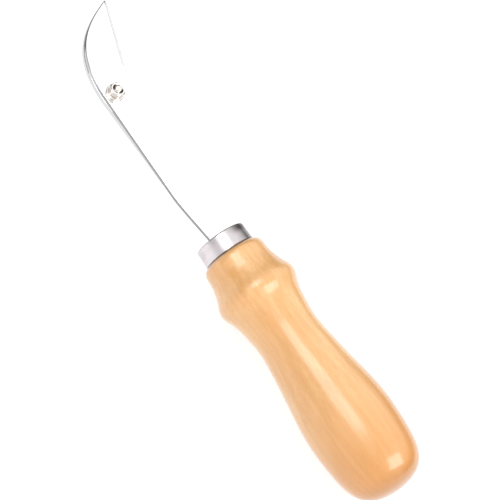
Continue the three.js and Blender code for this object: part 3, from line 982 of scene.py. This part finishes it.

# %% [markdown]
# ## Polished plates
#
# Polished sheet still carries the wheel's hair-fine lines, lengthways, and a few wider rubs and
# scratches that only show when the light rakes. The sheared edges round it stay duller. Each
# plate's rim number says how far a point has turned from the flat face. The clamp plate's edge
# is the lighter one. The holder's edge is darker, as painted dark reflection, darkest behind the
# hook and nearly black round the tip.

# %% Polished plates
def polished_steel():
    steel = Finish(bpy.data.materials.new("polished_steel"))
    place = steel.millimetres()
    x, _, z = steel.split(place)
    lines = steel.noise(steel.stretched(place, (0.12, 9, 9)), detail=4.0, roughness=0.6)
    rubs = steel.noise(steel.stretched(place, (0.05, 0.5, 0.5), (0, 0, 0.2)), detail=3.0)
    smears = steel.noise(place, scale=0.09, detail=3.0)
    scratches = steel.noise(steel.stretched(place, (0.25, 14, 14), (0, 0, 0.6)), detail=0.0)
    scratches = steel.step(scratches, 0.74, 0.78) * steel.step(smears, 0.45, 0.6)
    bright, smeared, scratched = (0.93, 0.932, 0.94), (0.885, 0.885, 0.895), (0.7, 0.7, 0.71)
    colour = steel.mix(steel.step(smears, 0.3, 0.75) * 0.5, bright, smeared)
    colour = steel.mix(scratches * 0.4, colour, scratched)

    rim = steel.step(steel.stored("rim"), 0.06, 0.45)
    sheared = steel.noise(steel.stretched(place, (2.2, 2.2, 0.5)), detail=3.0)
    joint = (holder_low[2] + CLAMP_TOP) / 2
    upper = steel.step(z, joint - 0.02, joint + 0.02)
    painted_hook_reflection_mask = steel.step(x, -74.0, -69.0)
    painted_tip_reflection_mask = 1 - steel.step(x, -86.5, -83.0)
    # The holder's darker edge, darkest behind the hook, and the near-black colour round its tip are
    # painted dark reflection; the clamp plate's lighter edge is dull sheared steel.
    light_edge, painted_dark_reflection_edge, scale = (0.66, 0.66, 0.67), (0.34, 0.34, 0.345), (0.06, 0.06, 0.062)
    dull = steel.mix(upper * (0.35 + 0.65 * painted_hook_reflection_mask), light_edge, painted_dark_reflection_edge)
    dull = steel.mix(upper * painted_tip_reflection_mask * (0.5 + sheared), dull, scale)
    colour = steel.mix(rim, colour, dull)

    rubbed = steel.step(rubs, 0.4, 0.7)
    rough = 0.05 + 0.05 * rubbed + 0.05 * lines + 0.12 * scratches + 0.16 * rim
    steel.bump(lines * 0.0012 + rubs * 0.002 - scratches * 0.002 + rim * sheared * 0.006)
    steel.set(base_color=colour, metallic=1.0, roughness=rough)
    return steel


polished_steel().paint(holder, clamp)


# %% [markdown]
# ## The satin ferrule
#
# The ferrule was spun against an abrasive, so its lines go round. The angle about the axis and the
# place along it unroll the sleeve, and noise read there is stretched round it. One side is darker,
# with a near-black patch near the front rim: both are painted dark reflection. The inside is dull,
# and the cut rim is dull and darkened further as a painted dark reflection. A thin brown line runs
# onto the sleeve from the wood: lacquer together with painted shade of the seam.

# %% Satin ferrule
def satin_steel():
    steel = Finish(bpy.data.materials.new("satin_steel"))
    place = steel.millimetres()
    x, y, z = steel.split(place)
    around = steel.node("ShaderNodeMath", {"operation": "ARCTAN2"}, {0: y, 1: z})
    lines = steel.noise(steel.joined(x * 14, around * 0.9, 0.0), detail=4.0, roughness=0.65)
    bands = steel.noise(steel.joined(x * 2.2, around * 0.3, 3.0), detail=2.0)
    stain = steel.noise(place, scale=0.28, detail=3.0)
    radius = (y * y + z * z) ** 0.5
    inside = 1 - steel.step(radius, 8.1, 8.5)
    # One side of the sleeve is darkened, with a near-black patch by the front rim: painted dark
    # reflection.
    painted_dark_side = steel.step(around, -0.35, 0.25) * (1 - steel.step(around, 0.75, 1.3))
    painted_dark_patch = painted_dark_side * (1 - steel.step(x + 1.2 * stain, -4.6, -2.2))
    # The cut rim is dull steel, darkened further as a painted dark reflection along the front rim.
    dull_rim_and_painted_reflection = 1 - steel.step(x, FERRULE_FRONT + 0.1, FERRULE_FRONT + 0.5)
    # A thin brown line at the back of the sleeve: lacquer from the wood together with painted shade
    # of the seam.
    sleeve_seam_lacquer_and_shade = steel.step(x, -0.5, -0.22)

    satin, stained, line_shade = (0.76, 0.71, 0.73), (0.66, 0.615, 0.63), (0.5, 0.485, 0.5)
    painted_dark_side_colour, painted_dark_patch_colour, cut = (0.27, 0.24, 0.235), (0.075, 0.065, 0.065), (0.2, 0.19, 0.19)
    sleeve_lacquer_and_shade_brown, dull = (0.14, 0.07, 0.03), (0.2, 0.18, 0.17)
    colour = steel.mix(steel.step(stain, 0.35, 0.7), satin, stained)
    colour = steel.mix(steel.step(lines, 0.45, 0.75) * 0.35, colour, line_shade)
    colour = steel.mix(painted_dark_side * 0.65, colour, painted_dark_side_colour)
    colour = steel.mix(painted_dark_patch * 0.8, colour, painted_dark_patch_colour)
    colour = steel.mix(dull_rim_and_painted_reflection * 0.75, colour, cut)
    colour = steel.mix(sleeve_seam_lacquer_and_shade * 0.85, colour, sleeve_lacquer_and_shade_brown)
    colour = steel.mix(inside * 0.8, colour, dull)
    steel.bump(lines * 0.006 + bands * 0.012)
    steel.set(base_color=colour, metallic=1.0, roughness=0.27 + 0.1 * lines + 0.06 * stain)
    return steel


satin_steel().paint(ferrule)


# %% [markdown]
# ## The ground blade
#
# The blade's flat is ground along the leaf, its bevel across the edge, and a stone leaves the last
# narrow land nearly a mirror. Measured along the edge and inwards from it, each of the three is a
# strip of its own, so one finish covers the whole blade and no seam has to be drawn.

# %% Ground blade
def blade_steel():
    steel = Finish(bpy.data.materials.new("blade_steel"))
    place = steel.millimetres()
    x, y, z = steel.split(place)
    along = (x - HEEL[0]) * along_edge[0] + (y - HEEL[1]) * along_edge[1]
    deep = (x - HEEL[0]) * inward[0] + (y - HEEL[1]) * inward[1]
    bevel = 1 - steel.step(deep, EDGE_BEVEL - 0.04, EDGE_BEVEL + 0.04)
    honed = 1 - steel.step(deep, HONED - 0.02, HONED + 0.04)
    flat_lines = steel.noise(steel.joined(along * 0.3, deep * 12, z), detail=4.0)
    bevel_lines = steel.noise(steel.joined(along * 12, deep * 0.4, z), detail=4.0)
    lines = flat_lines * (1 - bevel) + bevel_lines * bevel
    tint = steel.noise(place, scale=0.2, detail=2.0)
    light, grey = (0.86, 0.865, 0.88), (0.78, 0.785, 0.8)
    ground, mirror = (0.93, 0.93, 0.94), (0.95, 0.95, 0.96)
    colour = steel.mix(steel.step(tint, 0.35, 0.7), light, grey)
    colour = steel.mix(bevel * 0.6, colour, ground)
    colour = steel.mix(honed, colour, mirror)
    rough = 0.12 + 0.12 * lines + 0.08 * bevel - 0.1 * honed
    steel.bump(lines * 0.003)
    steel.set(base_color=colour, metallic=1.0, roughness=rough)
    return steel


blade_steel().paint(blade)


# %% [markdown]
# ## Plated screw, washer and nut
#
# Small fasteners are plated in a barrel, where they tumble against each other: bright, with a warm
# tint that varies from patch to patch, and finely pitted. The nut's countersink is painted dark as
# shade, a ring round the screw's end, which the radius about the screw's axis and the height place
# exactly.

# %% Plated screw, washer and nut
def plated_hardware():
    plating = Finish(bpy.data.materials.new("plated_hardware"))
    place = plating.millimetres()
    pitting = plating.noise(place, scale=3.5, detail=4.0, roughness=0.6)
    patches = plating.noise(place, scale=0.7, detail=2.0)
    bright, warm = (0.95, 0.91, 0.86), (0.86, 0.80, 0.74)
    pitted, painted_shade_colour = (0.5, 0.45, 0.4), (0.07, 0.05, 0.045)
    colour = plating.mix(plating.step(patches, 0.35, 0.65), bright, warm)
    colour = plating.mix(plating.step(pitting, 0.6, 0.8) * 0.35, colour, pitted)

    x, y, z = plating.split(place)
    radius = ((x - SCREW[0]) ** 2 + (y - SCREW[1]) ** 2) ** 0.5
    outside_thread = plating.step(radius, THREAD - 0.02, THREAD + 0.04)
    # The nut's countersink and the mouth of its bore are darkened round the screw's end: painted
    # shade.
    inside_cone = 1 - plating.step(radius, COUNTERSINK - 0.1, COUNTERSINK)
    painted_countersink_shade = outside_thread * inside_cone * plating.step(z, NUT_TOP - 0.8, NUT_TOP - 0.5)
    painted_countersink_shade = painted_countersink_shade * (1 - plating.step(z, NUT_TOP - 0.06, NUT_TOP))
    colour = plating.mix(painted_countersink_shade * 0.92, colour, painted_shade_colour)
    plating.bump(pitting * 0.006)
    plating.set(base_color=colour, metallic=1.0, roughness=0.12 + 0.14 * pitting)
    return plating


plated_hardware().paint(screw, washer, nut)

# %% [markdown]
# ## The studio
#
# The knife lies on a white light table, which is why almost no shadow shows. A grey top that also
# glows a little stands for the lit glass: it stays white under the knife and still takes a faint
# shadow. It reaches far enough that no low view looks past its edge.

# %% The table
TABLE_HALF = 6
TABLE_GREY, TABLE_GLOW = 0.22, 0.86
table_top = bpy.data.meshes.new("table_top")
table_corners = TABLE_HALF * np.array([(-1, -1), (1, -1), (1, 1), (-1, 1)])
table_top.from_pydata([(a, b, cad_low.z) for a, b in table_corners.tolist()], [], [(0, 1, 2, 3)])
table = bpy.data.objects.new("table_top", table_top)
bpy.context.scene.collection.objects.link(table)
white = Finish(bpy.data.materials.new("table_white"))
white.set(
    base_color=(TABLE_GREY, TABLE_GREY, TABLE_GREY, 1), roughness=0.6,
    emission_color=(1, 1, 1, 1), emission_strength=TABLE_GLOW,
)
white.paint(table)


# %% [markdown]
# One broad softbox overhead draws the long streak down the handle, and its place decides on which
# side of the ridge the streak runs. A second one past the butt puts a window on the dome. Area
# lights give both highlights their straight, soft edges, which point lights can't.

# %% Softboxes
def softbox(name, direction, distance, length, width, power, long_side=(1, 0, 0)):
    """A rectangular light that faces the knife from a direction, its long side along a vector."""
    data = bpy.data.lights.new(name, "AREA")
    data.shape, data.size, data.size_y, data.energy = "RECTANGLE", length, width, power
    lamp = bpy.data.objects.new(name, data)
    bpy.context.scene.collection.objects.link(lamp)
    out = Vector(direction).normalized()
    side = (Vector(long_side) - Vector(long_side).dot(out) * out).normalized()
    turn = Matrix((side, out.cross(side), out)).transposed().to_4x4()
    lamp.matrix_world = Matrix.Translation(out * distance) @ turn
    print(name, "is", length, "by", width, "m at", distance, "m")


LIGHT_DISTANCE = 0.9
softbox("overhead_strip", (-0.27, -0.46, 0.85), LIGHT_DISTANCE, 0.70, 0.46, 3.1)
softbox("butt_window", (0.66, 0.10, 0.74), LIGHT_DISTANCE, 0.6, 0.42, 3.2, (0, 1, 0))

# %% [markdown]
# Round the knife stands a white tent. Polished steel shows only what it mirrors, so the tent draws
# the plates: a brighter panel hangs where their flat faces mirror it towards the camera, and two
# dark cards, low on the cutting side and beyond the tip, put thin dark lines along the rounded
# arrises. A plain even sky would make the steel vanish.

# %% The tent
TENT_GLOW, PANEL_GLOW, CARD_SHADE = 0.8, 0.44, 0.9
world = bpy.data.worlds.new("tent")
bpy.context.scene.world = world
tent = Finish(world, "Background")
way = tent.node("ShaderNodeTexCoord", out="Generated")
way_x, way_y, way_z = tent.split(way)
edge_side = tent.step(way_y, 0.35, 0.6) * (1 - tent.step(way_z, 0.3, 0.46))
tip_side = tent.step(-1 * way_x, 0.36, 0.56) * (1 - tent.step(way_z, 0.42, 0.66))
to_panel = (-0.17, 0.63, 0.757)
facing = to_panel[0] * way_x + to_panel[1] * way_y + to_panel[2] * way_z
panel = tent.step(facing, 0.80, 0.90)
glow = TENT_GLOW + PANEL_GLOW * panel
glow = glow * (1 - CARD_SHADE * edge_side) * (1 - CARD_SHADE * tip_side)
tent.set(color=(1, 1, 1, 1), strength=glow)
bpy.context.scene.view_settings.view_transform = "Standard"
print("the tent has", len(tent.tree.nodes), "nodes")
